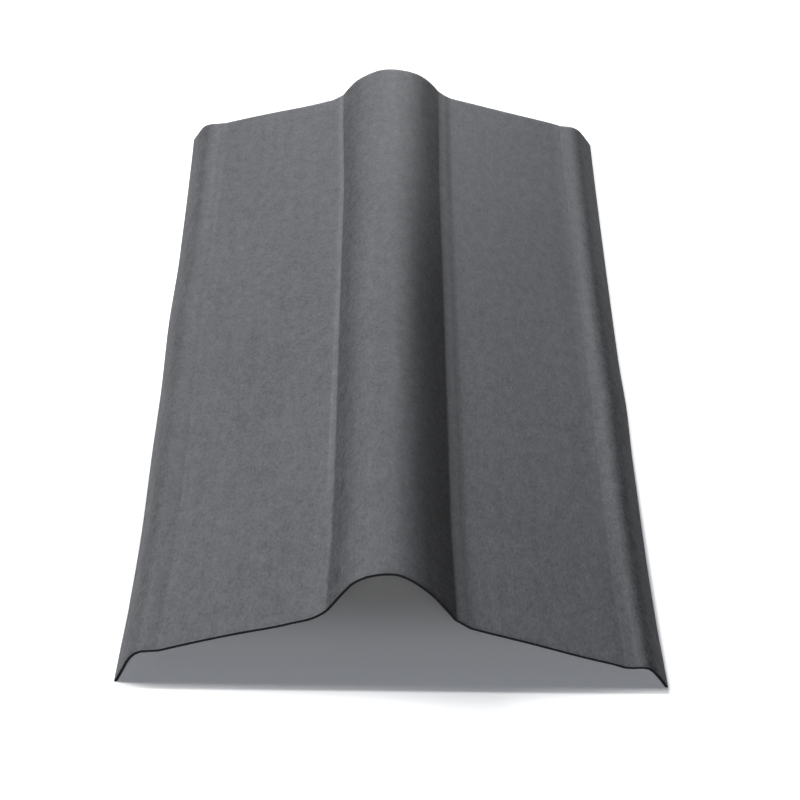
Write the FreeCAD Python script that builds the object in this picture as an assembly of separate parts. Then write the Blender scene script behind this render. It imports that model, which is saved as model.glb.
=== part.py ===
import FreeCAD, Part
import math
import os

# Roof ridge cap: one sheet of pressed fibre, with the same section along its whole length.
# It lies on the floor on its two feet. X runs across it, Y along the ridge and Z up.
# The origin is on the floor, under the middle of the cap.

# Overall sizes, in millimetres
length = 1000.0         # along the ridge
width = 485.0           # over the two feet
thickness = 2.6         # of the sheet

# Roll along the middle, which covers the ridge
rollWidth = 108.0       # from crease to crease
rollRadius = 51.0       # over the top of the roll
rollSlope = 54.0        # degrees, of the straight sides below the rounded top
creaseRadius = 5.0      # in the crease where each side ends

# Narrow strip beside each crease, steeper than the wing
stripWidth = 14.0
stripSlope = 29.0       # degrees

# Flat wings, which lie on the two sides of the roof
wingSlope = 15.5        # degrees

# Ledge along the outer side of each wing
ledgeWidth = 24.0       # from the wing to the unrounded corner of the lip
ledgeSlope = 3.0        # degrees

# Lip turned down to the foot
lipHeight = 27.0        # from the floor to its unrounded corner
lipRadius = 22.0        # over the rounded corner
lipSlope = 60.0         # degrees

bendRadius = 15.0       # in the shallow bends on both sides of the wing


def fall(levelRun, slope):
    """Drop over a level run of the sheet at a slope in degrees."""
    return levelRun * math.tan(math.radians(slope))


def levelSpan(drop, slope):
    """Level run over which the sheet drops that far at a slope in degrees."""
    return drop / math.tan(math.radians(slope))


def sectionCorners():
    """Unrounded corners of the sheet's top on the right, from the roll's peak to below the floor."""
    underFloor = thickness
    lipCorner = FreeCAD.Vector(width / 2 - levelSpan(lipHeight, lipSlope), 0, lipHeight)
    lipEnd = FreeCAD.Vector(width / 2 + levelSpan(underFloor, lipSlope), 0, -underFloor)
    wingEnd = lipCorner + FreeCAD.Vector(-ledgeWidth, 0, fall(ledgeWidth, ledgeSlope))

    crease = FreeCAD.Vector(rollWidth / 2, 0, 0)
    stripEnd = crease + FreeCAD.Vector(stripWidth, 0, 0)
    stripEnd.z = wingEnd.z + fall(wingEnd.x - stripEnd.x, wingSlope)
    crease.z = stripEnd.z + fall(stripWidth, stripSlope)
    peak = FreeCAD.Vector(0, 0, crease.z + fall(crease.x, rollSlope))
    return [peak, crease, stripEnd, wingEnd, lipCorner, lipEnd]


def mirrored(corner):
    """The same corner on the left side."""
    return FreeCAD.Vector(-corner.x, 0, corner.z)


def roundedLine(corners, radii):
    """Wire through the corners, with a tangent arc of the given radius at each inner corner."""
    edges = []
    start = corners[0]
    for before, corner, after, radius in zip(corners, corners[1:], corners[2:], radii):
        back = (before - corner).normalize()
        onward = (after - corner).normalize()
        halfTurn = (math.pi - back.getAngle(onward)) / 2
        reach = radius * math.tan(halfTurn)
        arcStart = corner + back * reach
        arcEnd = corner + onward * reach
        arcMiddle = corner + (back + onward).normalize() * radius * (1 / math.cos(halfTurn) - 1)
        edges.append(Part.LineSegment(start, arcStart).toShape())
        edges.append(Part.Arc(arcStart, arcMiddle, arcEnd).toShape())
        start = arcEnd
    edges.append(Part.LineSegment(start, corners[-1]).toShape())
    return Part.Wire(edges)


def sheetSection():
    """Band of the sheet's thickness under its top line, square to Y."""
    right = sectionCorners()
    left = [mirrored(corner) for corner in reversed(right[1:])]
    rightRadii = [creaseRadius, bendRadius, bendRadius, lipRadius]
    radii = rightRadii[::-1] + [rollRadius] + rightRadii
    topLine = roundedLine(left + right, radii)
    return topLine.makeOffset2D(-thickness, fill=True, openResult=True)


def ridgeCap():
    """The section drawn out along the ridge, with both lips trimmed level at the floor."""
    section = sheetSection()
    section.translate(FreeCAD.Vector(0, -length / 2, 0))
    sheet = section.extrude(FreeCAD.Vector(0, length, 0))
    peakHeight = sectionCorners()[0].z
    aboveFloor = Part.makeBox(width, length, peakHeight, FreeCAD.Vector(-width / 2, -length / 2, 0))
    return sheet.common(aboveFloor).Solids[0]


os.makedirs("parts", exist_ok=True)
ridgeCap().exportStep("parts/ridge_cap.step")
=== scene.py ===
import math

import bmesh
import bpy
from mathutils import Matrix, Vector, noise


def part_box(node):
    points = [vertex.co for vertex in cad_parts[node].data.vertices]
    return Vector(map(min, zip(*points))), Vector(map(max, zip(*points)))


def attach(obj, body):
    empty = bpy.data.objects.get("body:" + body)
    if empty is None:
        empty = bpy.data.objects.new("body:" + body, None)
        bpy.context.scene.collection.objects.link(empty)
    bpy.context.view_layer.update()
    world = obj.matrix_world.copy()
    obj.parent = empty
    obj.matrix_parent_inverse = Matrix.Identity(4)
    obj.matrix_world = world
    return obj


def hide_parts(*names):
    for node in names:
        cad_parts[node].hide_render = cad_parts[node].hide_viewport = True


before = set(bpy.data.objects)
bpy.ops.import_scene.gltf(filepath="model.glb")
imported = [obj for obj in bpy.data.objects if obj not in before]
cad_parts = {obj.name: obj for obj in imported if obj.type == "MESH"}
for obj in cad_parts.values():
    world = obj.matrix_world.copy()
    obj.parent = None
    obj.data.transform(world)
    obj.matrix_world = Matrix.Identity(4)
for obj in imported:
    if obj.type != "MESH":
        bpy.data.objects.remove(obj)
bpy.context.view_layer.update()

print("frame loaded")

# the even section, before the limp sheet is laid down
sheet = {
    "thickness": 0.0026,
    "rollWidth": 0.108,        # from crease to crease
    "rollRadius": 0.051,
    "rollSlope": 54,           # degrees, as all slopes here
    "creaseRadius": 0.005,
    "stripWidth": 0.014,
    "stripSlope": 29,
    "wingSlope": 15.5,
    "ledgeWidth": 0.024,
    "ledgeSlope": 3,
    "lipHeight": 0.027,
    "lipRadius": 0.017,
    "lipSlope": 60,
    "bendRadius": 0.015,
    "cutRounding": 0.0004,
    "spacing": 0.0055,         # of the mesh across the sheet
    "rowSpacing": 0.0065,      # and along it
}

# The sheet is limp enough to lie a little higher and narrower at the front than at the rear.
lie = {
    "lift": (1.072, 0.922),    # heights at the front and rear, against the even section
    "spread": (0.980, 1.020),  # widths
    "lean": (0.0057, -0.0018), # metres, left side up and right side down
    # swells of the sheet: (distance from the middle, reach, height at the front, and at the rear)
    "swells": [
        (0, 0.048, 0.0028, -0.0026),
        (-0.044, 0.036, -0.0007, -0.0008),
        (-0.026, 0.018, 0, -0.0008),
        (-0.046, 0.014, -0.0002, 0.0014),
        (0.044, 0.036, 0.0008, 0.0013),
        (0.028, 0.028, -0.0018, -0.0012),
        (0.050, 0.014, 0.0006, 0.0018),
        (-0.062, 0.020, -0.0012, 0),
        (-0.084, 0.060, -0.0020, -0.0007),
        (0.084, 0.060, -0.0002, 0.0003),
        (-0.170, 0.060, 0.0010, 0.0006),
        (0.170, 0.060, -0.0010, 0.0001),
        (-0.226, 0.024, 0.0006, -0.0008),
        (0.213, 0.024, -0.0012, -0.0012),
    ],
    "flare": (0.14, 0.28),     # share of the length over which the front and rear ends of the roll open out
    "rollShift": (-0.0017, -0.0002, -0.0013),  # to the right: all along, and more at the front and rear ends
    "rollWiden": (-0.0005, 0.0029, 0.0035),    # of each side of the roll, in the same three places
    "drawIn": (0.0036, 0.0026),  # of the left and right feet, half-way between the ends
    # and the feet wander: (side, share of the length from the front, reach, outwards)
    "wander": [
        (-1, 0, 0.10, 0.0019),
        (-1, 0.20, 0.16, -0.0014),
        (-1, 0.57, 0.14, 0.0020),
        (1, 0, 0.08, 0.0012),
        (1, 0.17, 0.16, -0.0009),
        (1, 0.42, 0.10, 0.0016),
    ],
    "lipShift": (0.222, 0.022, -0.0036),       # the right lip's bend is nearer to the middle: place, reach, amount
    "wave": 0.0005,            # slow unevenness of the surface
    "raggedCut": 0.00025,      # the cut ends wander by this much
    "softFold": (-0.100, -0.040),  # the left crease is pressed less sharply towards the front
    "softPasses": 12,
}


def fall(levelRun, slope):
    return levelRun * math.tan(math.radians(slope))


def sectionCorners(size, width):
    # unrounded corners of the top line on the right, each with its rounding
    lip = Vector((width / 2 - size["lipHeight"] / math.tan(math.radians(size["lipSlope"])), 0, size["lipHeight"]))
    end = Vector((width / 2, 0, 0))
    end += (end - lip).normalized() * size["thickness"] * 1.5
    wing = lip + Vector((-size["ledgeWidth"], 0, fall(size["ledgeWidth"], size["ledgeSlope"])))
    strip = Vector((size["rollWidth"] / 2 + size["stripWidth"], 0, 0))
    strip.z = wing.z + fall(wing.x - strip.x, size["wingSlope"])
    crease = strip + Vector((-size["stripWidth"], 0, fall(size["stripWidth"], size["stripSlope"])))
    peak = Vector((0, 0, crease.z + fall(crease.x, size["rollSlope"])))
    return [
        ("peak", peak, size["rollRadius"]),
        ("crease", crease, size["creaseRadius"]),
        ("strip", strip, size["bendRadius"]),
        ("wing", wing, size["bendRadius"]),
        ("lip", lip, size["lipRadius"]),
        ("end", end, 0),
    ]


def slopeOf(start, end):
    return math.atan2(start.z - end.z, end.x - start.x)


def drawArc(bm, tip, radius, slope, newSlope, spacing):
    # turns the line about the tip's centre of curvature; a positive turn goes down to the right
    turn = newSlope - slope
    side = math.copysign(1, turn)
    centre = tip.co - Vector((math.sin(slope), 0, math.cos(slope))) * radius * side
    steps = max(3, round(abs(turn) * radius / spacing))
    arc = bmesh.ops.spin(bm, geom=[tip], cent=centre, axis=(0, 1, 0), angle=turn, steps=steps, use_duplicate=False)
    return [part for part in arc["geom_last"] if isinstance(part, bmesh.types.BMVert)][0]


def drawRun(bm, tip, length, slope, spacing):
    steps = max(1, round(length / spacing))
    step = Vector((math.cos(slope), 0, -math.sin(slope))) * length / steps
    for _ in range(steps):
        tip = bmesh.ops.extrude_vert_indiv(bm, verts=[tip])["verts"][0]
        bmesh.ops.translate(bm, verts=[tip], vec=step)
    return tip


def drawTopLine(bm, size, width):
    # the right half from the crest outwards, then its mirror image
    corners = sectionCorners(size, width)
    peak, roll = corners[0][1], corners[0][2]
    halfTurn = math.radians(size["rollSlope"])
    crest = Vector((0, 0, peak.z - roll * (1 / math.cos(halfTurn) - 1)))
    tip = bmesh.ops.create_vert(bm, co=crest)["vert"][0]
    tip = drawArc(bm, tip, roll, 0, halfTurn, size["spacing"])
    reach = roll * math.tan(halfTurn)
    marks = {}
    for (name, start, radius), (nextName, corner, nextRadius), (_, after, _) in zip(corners, corners[1:], corners[2:]):
        slope, newSlope = slopeOf(start, corner), slopeOf(corner, after)
        nextReach = nextRadius * math.tan(abs(newSlope - slope) / 2)
        tip = drawRun(bm, tip, (corner - start).length - reach - nextReach, slope, size["spacing"])
        marks[nextName] = corner.x
        tip = drawArc(bm, tip, nextRadius, slope, newSlope, size["spacing"])
        reach = nextReach
    drawRun(bm, tip, (after - corner).length - reach, newSlope, size["spacing"])
    bmesh.ops.mirror(bm, geom=bm.verts[:] + bm.edges[:], axis="X", merge_dist=0.00001)
    return marks


def smoothStep(low, high, value):
    part = min(max((value - low) / (high - low), 0), 1)
    return part * part * (3 - 2 * part)


def between(pair, part):
    return pair[0] + (pair[1] - pair[0]) * part


def settle(vert, width, length):
    # moves one point of the even sheet to where the limp sheet lies
    x, y, z = vert.co
    back = y / length + 0.5
    offFoot = 1 - smoothStep(width / 2 - 0.03, width / 2, abs(x))
    side = math.copysign(smoothStep(0, 0.045, abs(x)) * offFoot, x)
    rise = noise.noise(Vector((x * 6, y * 3.5, 2.7))) * lie["wave"] * offFoot
    for place, reach, front, rear in lie["swells"]:
        rise += between((front, rear), back) * (1 - smoothStep(0, reach, abs(x - place)))

    # the roll opens out towards the ends, and the feet are drawn in between them
    openings = (1, 1 - smoothStep(0, lie["flare"][0], back), smoothStep(1 - lie["flare"][1], 1, back))
    shift = sum(amount * part for amount, part in zip(lie["rollShift"], openings))
    widen = sum(amount * part for amount, part in zip(lie["rollWiden"], openings))
    atRoll = 1 - smoothStep(0.045, 0.110, abs(x))
    inward = lie["drawIn"][0 if x < 0 else 1] * math.sin(math.pi * min(max(back, 0), 1)) ** 0.7 * smoothStep(0.150, 0.225, abs(x))
    vert.co.x = x * between(lie["spread"], back)
    vert.co.x += (shift + widen * min(max(x / 0.054, -1), 1)) * atRoll - math.copysign(inward, x)
    for foot, place, reach, outwards in lie["wander"]:
        if foot * x > 0:
            bump = 1 - smoothStep(0, reach, abs(back - place))
            vert.co.x += foot * outwards * bump * smoothStep(0.150, 0.225, abs(x))
    place, reach, amount = lie["lipShift"]
    vert.co.x += amount * (1 - smoothStep(0, reach, abs(x - place)))
    vert.co.z = z * between(lie["lift"], back) - between(lie["lean"], back) * side + rise


def softenFold(bm, across, length):
    # smooths the left crease, most at the front and not at all from the middle backwards
    low, high = lie["softFold"]
    for step in range(lie["softPasses"]):
        limit = -length / 2 * step / lie["softPasses"]
        near = [vert for vert in bm.verts if low < vert[across] < high and vert.co.y < limit]
        bmesh.ops.smooth_vert(bm, verts=near, factor=0.5, use_axis_x=True, use_axis_z=True)


def makeSheet(size, width, length):
    bm = bmesh.new()
    across = bm.verts.layers.float.new("acrossSheet")
    marks = drawTopLine(bm, size, width)

    # distance over the sheet from its middle line, which stays when the sheet is bent
    ordered = sorted(bm.verts, key=lambda vert: vert.co.x)
    for before, vert in zip(ordered, ordered[1:]):
        vert[across] = before[across] + (vert.co - before.co).length
    middle = ordered[-1][across] / 2
    for vert in ordered:
        vert[across] -= middle
    markPlaces = {name: min(ordered, key=lambda vert: abs(vert.co.x - x))[across] for name, x in marks.items()}

    # the line drawn out along the ridge, in rows
    bmesh.ops.translate(bm, verts=bm.verts, vec=(0, -length / 2, 0))
    frontLine = bm.edges[:]
    drawn = bmesh.ops.extrude_edge_only(bm, edges=frontLine)
    bmesh.ops.translate(bm, verts=[part for part in drawn["geom"] if isinstance(part, bmesh.types.BMVert)], vec=(0, length, 0))
    lengthways = [edge for edge in bm.edges if abs(edge.verts[0].co.y - edge.verts[1].co.y) > length / 2]
    bmesh.ops.subdivide_edges(bm, edges=lengthways, cuts=round(length / size["rowSpacing"]) - 1, use_grid_fill=True)
    bmesh.ops.recalc_face_normals(bm, faces=bm.faces)
    if sum(face.normal.z for face in bm.faces) < 0:
        bmesh.ops.reverse_faces(bm, faces=bm.faces)

    # UVs in metres over the sheet
    uv = bm.loops.layers.uv.new("sheetMap")
    for face in bm.faces:
        for loop in face.loops:
            loop[uv].uv = (loop.vert[across], loop.vert.co.y)
    for vert in bm.verts:
        settle(vert, width, length)
    softenFold(bm, across, length)
    return bm, markPlaces


def thicken(bm, size, length):
    depth = bm.verts.layers.float.new("depthInSheet")
    top = set(bm.faces)
    bmesh.ops.solidify(bm, geom=bm.faces[:], thickness=size["thickness"])
    topVerts = {vert for face in top for vert in face.verts}
    for vert in bm.verts:
        vert[depth] = 0 if vert in topVerts else 1
    for face in bm.faces:
        isUnder = not any(vert in topVerts for vert in face.verts)
        face.material_index = 0 if face in top else 1 if isUnder else 2
        face.smooth = face.material_index < 2

    # both lips are trimmed level at the floor, and the feet closed; a row that all but meets the cut joins it
    whole = bm.verts[:] + bm.edges[:] + bm.faces[:]
    cut = bmesh.ops.bisect_plane(bm, geom=whole, dist=size["cutRounding"] * 3, plane_co=(0, 0, 0), plane_no=(0, 0, 1), clear_inner=True)
    trimmed = [part for part in cut["geom_cut"] if isinstance(part, bmesh.types.BMEdge)]
    for vert in {vert for edge in trimmed for vert in edge.verts}:
        downTheLip = vert.co.z / math.tan(math.radians(size["lipSlope"]))
        vert.co += Vector((math.copysign(downTheLip, vert.co.x), 0, -vert.co.z))
    feet = bmesh.ops.edgeloop_fill(bm, edges=trimmed, mat_nr=2)["faces"]
    for foot in feet:
        if foot.normal.z > 0:
            foot.normal_flip()

    # the cut sides wander a little, and their edges are slightly rounded
    for vert in bm.verts:
        if abs(vert.co.y) > length / 2 - 0.00001:
            vert.co.y += noise.noise(vert.co * 160) * lie["raggedCut"]
    sharp = [edge for edge in bm.edges if len({face.material_index for face in edge.link_faces}) == 2]
    bmesh.ops.bevel(bm, geom=sharp, offset=size["cutRounding"], offset_type="OFFSET", segments=2, profile=0.5, affect="EDGES", material=-1)


low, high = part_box("ridge_cap")
capWidth, capLength = high.x - low.x, high.y - low.y

bm, folds = makeSheet(sheet, capWidth, capLength)
thicken(bm, sheet, capLength)
print("sheet", len(bm.faces), "faces, folds at", {name: round(place, 4) for name, place in folds.items()})
capMesh = bpy.data.meshes.new("ridgeSheet")
bm.to_mesh(capMesh)
bm.free()
cap = bpy.data.objects.new("ridgeSheet", capMesh)
bpy.context.collection.objects.link(cap)
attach(cap, "root")
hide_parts("ridge_cap")


def addNode(tree, kind, inputs=None, **settings):
    # an input may be a plain value or the output of another node
    node = tree.nodes.new("ShaderNode" + kind)
    for name, value in settings.items():
        setattr(node, name, value)
    for name, value in (inputs or {}).items():
        if isinstance(value, bpy.types.NodeSocket):
            tree.links.new(value, node.inputs[name])
        else:
            node.inputs[name].default_value = value
    return node


def calc(tree, operation, *values):
    node = addNode(tree, "Math", dict(enumerate(values)), operation=operation)
    return node.outputs[0]


def ease(tree, value, start, end, fromStart=0, toEnd=1):
    # smooth change from one value to another while the input goes from start to end
    ramp = addNode(tree, "MapRange", {"Value": value}, interpolation_type="SMOOTHSTEP")
    for name, number in zip(("From Min", "From Max", "To Min", "To Max"), (start, end, fromStart, toEnd)):
        if isinstance(number, bpy.types.NodeSocket):
            tree.links.new(number, ramp.inputs[name])
        else:
            ramp.inputs[name].default_value = number
    return ramp.outputs["Result"]


def newGroup(name, inputs, outputs):
    group = bpy.data.node_groups.new(name, "ShaderNodeTree")
    for socketName, value in inputs.items():
        kind = "NodeSocketVector" if value is None else "NodeSocketFloat"
        socket = group.interface.new_socket(socketName, in_out="INPUT", socket_type=kind)
        if value is not None:
            socket.default_value = value
    for socketName in outputs:
        group.interface.new_socket(socketName, in_out="OUTPUT", socket_type="NodeSocketFloat")
    return group, group.nodes.new("NodeGroupInput").outputs, group.nodes.new("NodeGroupOutput").inputs


def makeFibreTone():
    # blotches and flecks of pressed pulp: a factor about 1 for the colour, and its relief
    group, given, result = newGroup(
        "fibreTone",
        {"Vector": None, "Blotch Scale": 70, "Fleck Scale": 420, "Blotch Amount": 0.2, "Fleck Amount": 0.25},
        ["Tone", "Relief"],
    )
    blotch = addNode(group, "TexNoise", {"Vector": given["Vector"], "Scale": given["Blotch Scale"], "Detail": 3, "Roughness": 0.6})
    fleck = addNode(group, "TexNoise", {"Vector": given["Vector"], "Scale": given["Fleck Scale"], "Detail": 2, "Roughness": 0.55})
    cloud = addNode(group, "TexNoise", {"Vector": given["Vector"], "Scale": 9, "Detail": 2})
    tone = 1
    for noiseNode, amount in ((blotch, given["Blotch Amount"]), (fleck, given["Fleck Amount"]), (cloud, 0.25)):
        centred = calc(group, "SUBTRACT", noiseNode.outputs["Fac"], 0.5)
        tone = calc(group, "MULTIPLY_ADD", centred, amount, tone)
    relief = calc(group, "MULTIPLY_ADD", blotch.outputs["Fac"], 1.8, fleck.outputs["Fac"])
    group.links.new(tone, result["Tone"])
    group.links.new(relief, result["Relief"])
    return group


def makeFoldLine():
    # a soft line along a fold, broken up along its length
    group, given, result = newGroup(
        "foldLine",
        {"Vector": None, "Place": 0, "Half Width": 0.002, "Breaks": 0.5},
        ["Mask"],
    )
    across = addNode(group, "SeparateXYZ", {0: given["Vector"]}).outputs["X"]
    wander = addNode(group, "TexNoise", {"Vector": given["Vector"], "Scale": 11, "Detail": 2}).outputs["Fac"]
    place = calc(group, "MULTIPLY_ADD", calc(group, "SUBTRACT", wander, 0.5), 0.003, given["Place"])
    off = calc(group, "ABSOLUTE", calc(group, "SUBTRACT", across, place))
    line = ease(group, off, 0, given["Half Width"], 1, 0)
    patch = addNode(group, "TexNoise", {"Vector": given["Vector"], "Scale": 26, "Detail": 3, "Roughness": 0.65}).outputs["Fac"]
    gaps = ease(group, patch, 0.38, 0.62)
    kept = calc(group, "MULTIPLY_ADD", calc(group, "SUBTRACT", gaps, 1), given["Breaks"], 1)
    group.links.new(calc(group, "MULTIPLY", line, kept), result["Mask"])
    return group


fibreTone = makeFibreTone()
foldLine = makeFoldLine()


def useGroup(tree, group, inputs):
    node = tree.nodes.new("ShaderNodeGroup")
    node.node_tree = group
    for name, value in inputs.items():
        if isinstance(value, bpy.types.NodeSocket):
            tree.links.new(value, node.inputs[name])
        else:
            node.inputs[name].default_value = value
    return node.outputs


def newMaterial(name):
    material = bpy.data.materials.new(name)
    material.use_nodes = True
    tree = material.node_tree
    shader = tree.nodes["Principled BSDF"]
    place = addNode(tree, "TexCoord").outputs["Object"]
    spread = addNode(tree, "UVMap", uv_map="sheetMap").outputs["UV"]
    return material, tree, shader, place, spread


def tint(tree, color, factor):
    # the colour made lighter or darker by a factor
    node = addNode(tree, "VectorMath", {0: color}, operation="SCALE")
    tree.links.new(factor, node.inputs["Scale"])
    return node.outputs["Vector"]


feltTop = {
    "color": (0.1045, 0.1085, 0.1175),
    "roughness": 0.6,
    "specular": 0.12,
    "flankPaintedShade": (0.55, 0.64), # painted shade on the roll's steep left and right sides
    "rightPaintedShade": (0.50, 0.05), # and more painted shade on the right one, by this share in front and at its rear end
    "rightDulled": (0.5, 0.15), # and it and the right lip shine less by this share
    "lipPaintedShade": 0.37,           # painted shade on the lips too
    "reliefDepth": 0.0006,
    "grain": (1, 0.55, 1),      # the fibres lie along the sheet, so the blotches are longer that way
    # painted highlights and painted shade along the folds: side, fold, distance beyond it, half width, breaks,
    # strength, and the share of that strength at the front and rear
    "lines": [
        (-1, "crease", 0.0034, 0.0050, 0.35, 0.26, -0.4, 1),
        (-1, "wing", 0.0, 0.0040, 0.60, 0.10, 1, 1),
        (-1, "wing", 0.0095, 0.0070, 0.50, 0.03, 0, 2.5),
        (-1, "lip", -0.0050, 0.0070, 0.30, -0.14, 1, 1),
        (-1, "lip", 0.0080, 0.0130, 0.20, -0.20, 1, 0.6),
        (1, "crease", 0.0060, 0.0070, 0.20, 0.10, 1, 2),
        (1, "crease", 0.0044, 0.0012, 0.50, -0.12, 0.5, 1.4),
        (1, "crease", 0.0120, 0.0016, 0.45, -0.16, 1, 0.6),
        (1, "wing", -0.0020, 0.0110, 0.20, 0.22, -0.2, 0.9),
        (1, "wing", 0.0095, 0.0090, 0.35, 0.15, -1, 0.4),
        (1, "lip", 0.0000, 0.0040, 0.35, -0.09, 0.5, 1),
        (1, "lip", 0.0080, 0.0140, 0.10, -0.10, 2.6, 0.3),
    ],
}


def makeFeltTop(look):
    material, tree, shader, place, spread = newMaterial("feltTop")
    grain = addNode(tree, "Mapping", {"Vector": place, "Scale": look["grain"]}).outputs["Vector"]
    tone, relief = useGroup(tree, fibreTone, {"Vector": grain, "Blotch Scale": 115, "Fleck Scale": 430, "Blotch Amount": 0.62, "Fleck Amount": 0.85})

    # faint streaks across the sheet and along it
    factor = tone
    for stretch, amount in (((14, 130, 1), 0.05), ((95, 3, 1), 0.18)):
        mapped = addNode(tree, "Mapping", {"Vector": spread, "Scale": stretch}).outputs["Vector"]
        streak = addNode(tree, "TexNoise", {"Vector": mapped, "Scale": 1, "Detail": 2, "Roughness": 0.5}).outputs["Fac"]
        factor = calc(tree, "MULTIPLY_ADD", calc(tree, "SUBTRACT", streak, 0.5), amount, factor)

    # painted shade on the roll's steep sides, down to the crease, more on the right side, and on the lips
    across = addNode(tree, "SeparateXYZ", {0: spread}).outputs["X"]
    sideways = calc(tree, "ABSOLUTE", across)
    creasePlace = folds["crease"]
    # painted shade on both steep sides of the roll
    onFlank = calc(tree, "MULTIPLY", ease(tree, sideways, 0.018, 0.058), ease(tree, sideways, creasePlace - 0.0008, creasePlace + 0.0008, 1, 0))
    shade = ease(tree, across, -0.004, 0.004, *look["flankPaintedShade"])
    factor = calc(tree, "SUBTRACT", factor, calc(tree, "MULTIPLY", onFlank, shade))
    along = addNode(tree, "SeparateXYZ", {0: spread}).outputs["Y"]
    # more painted shade on the right side, fading towards its rear end
    onRight = calc(tree, "MULTIPLY", ease(tree, across, 0.006, 0.034), ease(tree, across, creasePlace, creasePlace + 0.0034, 1, 0))
    awayFromRear = ease(tree, along, -0.05, 0.30, *look["rightPaintedShade"])
    factor = calc(tree, "MULTIPLY", factor, calc(tree, "SUBTRACT", 1, calc(tree, "MULTIPLY", onRight, awayFromRear)))
    # painted shade on the lips
    onLip = ease(tree, sideways, folds["lip"] - 0.011, folds["lip"] + 0.002)
    factor = calc(tree, "MULTIPLY_ADD", onLip, -look["lipPaintedShade"], factor)

    # lighter lines are painted highlights, darker ones painted shade along the folds; the lighter ones are a little
    # less rough
    paintedHighlight = 0
    for side, fold, beyond, halfWidth, breaks, strength, atFront, atRear in look["lines"]:
        linePlace = side * (folds[fold] + beyond)
        mask = useGroup(tree, foldLine, {"Vector": spread, "Place": linePlace, "Half Width": halfWidth, "Breaks": breaks})["Mask"]
        mask = calc(tree, "MULTIPLY", mask, ease(tree, along, -0.46, -0.20, atFront, 1))
        mask = calc(tree, "MULTIPLY", mask, ease(tree, along, 0.12, 0.34, 1, atRear))
        factor = calc(tree, "MULTIPLY_ADD", mask, strength, factor)
        if strength > 0:
            paintedHighlight = calc(tree, "MAXIMUM", mask, paintedHighlight)
    tree.links.new(tint(tree, look["color"], factor), shader.inputs["Base Color"])
    tree.links.new(calc(tree, "MULTIPLY_ADD", paintedHighlight, -0.08, look["roughness"]), shader.inputs["Roughness"])
    onRightLip = calc(tree, "MULTIPLY", onLip, ease(tree, across, 0, 0.1))
    dull = calc(tree, "MULTIPLY", calc(tree, "MAXIMUM", onRight, onRightLip), ease(tree, along, -0.05, 0.30, *look["rightDulled"]))
    shine = calc(tree, "MULTIPLY_ADD", dull, -look["specular"], look["specular"])
    tree.links.new(shine, shader.inputs["Specular IOR Level"])
    bump = addNode(tree, "Bump", {"Height": relief, "Distance": look["reliefDepth"], "Strength": 0.6})
    tree.links.new(bump.outputs["Normal"], shader.inputs["Normal"])
    return material


feltUnder = {
    "color": (0.046, 0.046, 0.049),
    "roughness": 0.56,
    "screenPitch": 0.0022,      # of the forming screen's print
    "reliefDepth": 0.0003,
}


def makeFeltUnder(look):
    material, tree, shader, place, spread = newMaterial("feltUnder")
    tone, relief = useGroup(tree, fibreTone, {"Vector": place, "Blotch Scale": 48, "Fleck Scale": 300, "Blotch Amount": 0.35, "Fleck Amount": 0.3})

    # the print of the woven screen that the pulp was pressed on
    screen = 0
    for turn in (0, math.pi / 2):
        turned = addNode(tree, "Mapping", {"Vector": spread, "Rotation": (0, 0, turn)}).outputs["Vector"]
        wires = addNode(tree, "TexWave", {"Vector": turned, "Scale": 0.314 / look["screenPitch"] / 2, "Distortion": 0.6, "Detail": 1, "Detail Scale": 0.4})
        screen = calc(tree, "ADD", wires.outputs["Fac"], screen)
    height = calc(tree, "MULTIPLY_ADD", screen, 0.35, relief)
    factor = calc(tree, "MULTIPLY_ADD", screen, 0.05, tone)
    for linePlace in (-folds["wing"], -folds["crease"], folds["crease"], folds["wing"]):
        mask = useGroup(tree, foldLine, {"Vector": spread, "Place": linePlace, "Half Width": 0.004, "Breaks": 0.6})["Mask"]
        factor = calc(tree, "MULTIPLY_ADD", mask, 0.25, factor)
    tree.links.new(tint(tree, look["color"], factor), shader.inputs["Base Color"])
    shader.inputs["Roughness"].default_value = look["roughness"]
    bump = addNode(tree, "Bump", {"Height": height, "Distance": look["reliefDepth"], "Strength": 0.7})
    tree.links.new(bump.outputs["Normal"], shader.inputs["Normal"])
    return material


cutEdge = {
    "color": (0.009, 0.009, 0.010),
    "roughness": 0.9,
    "specular": 0.15,
    "layers": 7,                # of pulp through the thickness
    "reliefDepth": 0.0003,
}


def makeCutEdge(look):
    material, tree, shader, place, spread = newMaterial("cutEdge")
    depth = addNode(tree, "Attribute", attribute_name="depthInSheet").outputs["Fac"]
    across = addNode(tree, "SeparateXYZ", {0: spread}).outputs["X"]
    layerPlace = addNode(tree, "CombineXYZ", {"X": calc(tree, "MULTIPLY", across, 110), "Y": calc(tree, "MULTIPLY", depth, look["layers"])}).outputs["Vector"]
    layers = addNode(tree, "TexNoise", {"Vector": layerPlace, "Scale": 1, "Detail": 3, "Roughness": 0.6}).outputs["Fac"]
    tone, relief = useGroup(tree, fibreTone, {"Vector": place, "Blotch Scale": 200, "Fleck Scale": 900, "Blotch Amount": 0.5, "Fleck Amount": 0.6})
    factor = calc(tree, "MULTIPLY_ADD", calc(tree, "SUBTRACT", layers, 0.5), 1.6, tone)
    tree.links.new(tint(tree, look["color"], factor), shader.inputs["Base Color"])
    shader.inputs["Roughness"].default_value = look["roughness"]
    shader.inputs["Specular IOR Level"].default_value = look["specular"]
    bump = addNode(tree, "Bump", {"Height": calc(tree, "ADD", layers, relief), "Distance": look["reliefDepth"], "Strength": 0.8})
    tree.links.new(bump.outputs["Normal"], shader.inputs["Normal"])
    return material


for material in (makeFeltTop(feltTop), makeFeltUnder(feltUnder), makeCutEdge(cutEdge)):
    capMesh.materials.append(material)
print("materials made")


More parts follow.
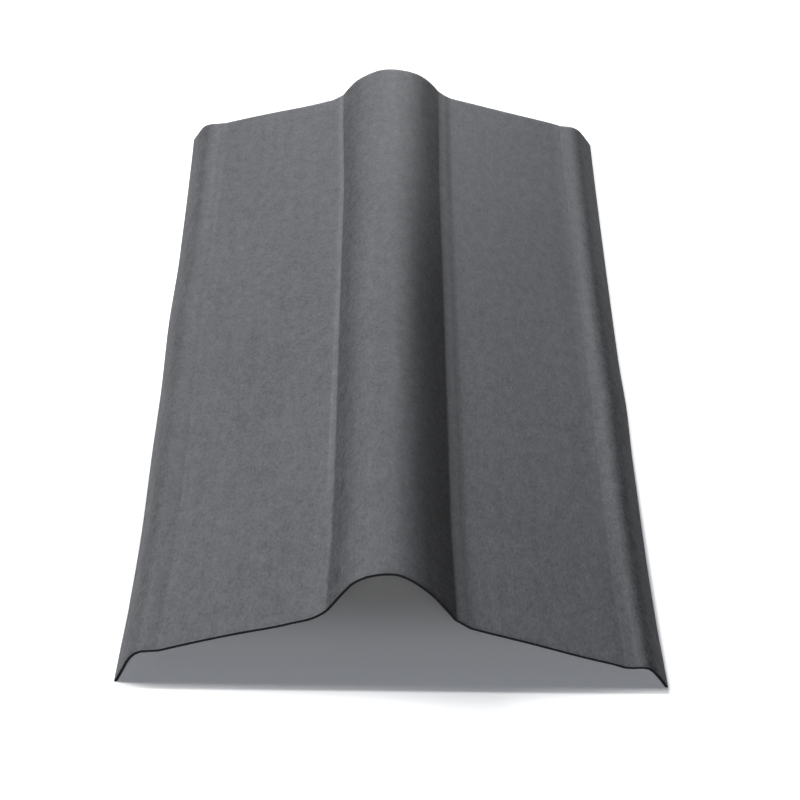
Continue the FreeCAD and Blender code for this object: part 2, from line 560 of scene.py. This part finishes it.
studio = {
    "floorColor": (0.9, 0.9, 0.9, 1),
    # Glow of the floor that the camera alone sees, in steps of (distance outside the cap, strength): painted bluish
    # light in the cap's shadow under it, dimmer deeper in, and beyond it painted light that washes out the cap's
    # shadow, so that the open floor is white.
    "underGlow": [(-0.130, 0.010), (-0.045, 0.094), (0, 0.112)],
    # the painted bluish tint of the shadow under the cap
    "underGlowTint": (0.89, 0.97, 1.12),
    "openGlow": [(0, 0), (0.004, 0.40), (0.20, 0.40), (1.00, 1.10)],
    "glowShift": (-0.005, 0.007),  # the glow starts this much further out beside the cap, and before and behind it
    "ambient": 0.0,
    # lamps: (degrees round from the front, degrees up, distance, size, power)
    "lamps": {
        "keyLeft": (262, 52, 4.5, 1.9, 218),
        "back": (177, 14, 3, 1.2, 26),
        "front": (0, 25, 3, 1.2, 15),
    },
}


def whenSeen(tree):
    # 1 for what the camera sees, directly or in a reflection
    path = addNode(tree, "LightPath").outputs
    return calc(tree, "MAXIMUM", calc(tree, "MAXIMUM", path["Is Camera Ray"], path["Is Glossy Ray"]), path["Is Transmission Ray"])


def inSteps(tree, value, steps):
    # eased from each step to the next, where a step is (input, result)
    result = steps[0][1]
    for (start, low), (end, high) in zip(steps, steps[1:]):
        result = calc(tree, "ADD", ease(tree, value, start, end, 0, high - low), result)
    return result


def makeStudio(look):
    floorMaterial = bpy.data.materials.new("paleFloor")
    floorMaterial.use_nodes = True
    tree = floorMaterial.node_tree
    shader = tree.nodes["Principled BSDF"]
    shader.inputs["Base Color"].default_value = look["floorColor"]
    shader.inputs["Roughness"].default_value = 1
    shader.inputs["Specular IOR Level"].default_value = 0
    spot = addNode(tree, "SeparateXYZ", {0: addNode(tree, "TexCoord").outputs["Object"]}).outputs
    # the glow paints light: dim and bluish in the cap's shadow under it, bright just beside it, where it washes out the
    # shadow
    beside = calc(tree, "SUBTRACT", calc(tree, "ABSOLUTE", spot["X"]), capWidth / 2 + look["glowShift"][0])
    beyond = calc(tree, "SUBTRACT", calc(tree, "ABSOLUTE", spot["Y"]), capLength / 2 + look["glowShift"][1])
    outside = calc(tree, "MAXIMUM", beside, beyond)
    underGlow = tint(tree, look["underGlowTint"], inSteps(tree, outside, look["underGlow"]))
    glow = addNode(tree, "VectorMath", {0: underGlow, 1: inSteps(tree, outside, look["openGlow"])}, operation="ADD")
    tree.links.new(glow.outputs["Vector"], shader.inputs["Emission Color"])
    tree.links.new(whenSeen(tree), shader.inputs["Emission Strength"])
    floorMesh = bpy.data.meshes.new("floor")
    bm = bmesh.new()
    bmesh.ops.create_grid(bm, size=8)
    bm.to_mesh(floorMesh)
    bm.free()
    floorMesh.materials.append(floorMaterial)
    floor = bpy.data.objects.new("floor", floorMesh)
    bpy.context.collection.objects.link(floor)

    world = bpy.data.worlds.new("whiteRoom")
    world.use_nodes = True
    tree = world.node_tree
    background = tree.nodes["Background"]
    background.inputs["Color"].default_value = (1, 1, 1, 1)
    tree.links.new(calc(tree, "MAXIMUM", whenSeen(tree), look["ambient"]), background.inputs["Strength"])
    bpy.context.scene.world = world

    for name, (around, up, distance, size, power) in look["lamps"].items():
        lampData = bpy.data.lights.new(name, "AREA")
        lampData.shape = "DISK"
        lampData.size = size
        lampData.energy = power
        lamp = bpy.data.objects.new(name, lampData)
        turn = Matrix.Rotation(math.radians(around), 3, "Z") @ Matrix.Rotation(math.radians(90 - up), 3, "X")
        lamp.location = turn @ Vector((0, 0, distance))
        lamp.rotation_euler = turn.to_euler()
        bpy.context.collection.objects.link(lamp)


makeStudio(studio)

photoCamera = {
    "place": (-0.01767, -1.89288, 1.25324),
    "turn": (55.545, -0.955, -0.155),
    "lens": 96.91,
}
cameraData = bpy.data.cameras.new("photoCamera")
cameraData.lens = photoCamera["lens"]
camera = bpy.data.objects.new("photoCamera", cameraData)
camera.location = photoCamera["place"]
camera.rotation_euler = [math.radians(angle) for angle in photoCamera["turn"]]
bpy.context.collection.objects.link(camera)
bpy.context.scene.camera = camera
bpy.context.scene.view_settings.view_transform = "Standard"
print("studio made")
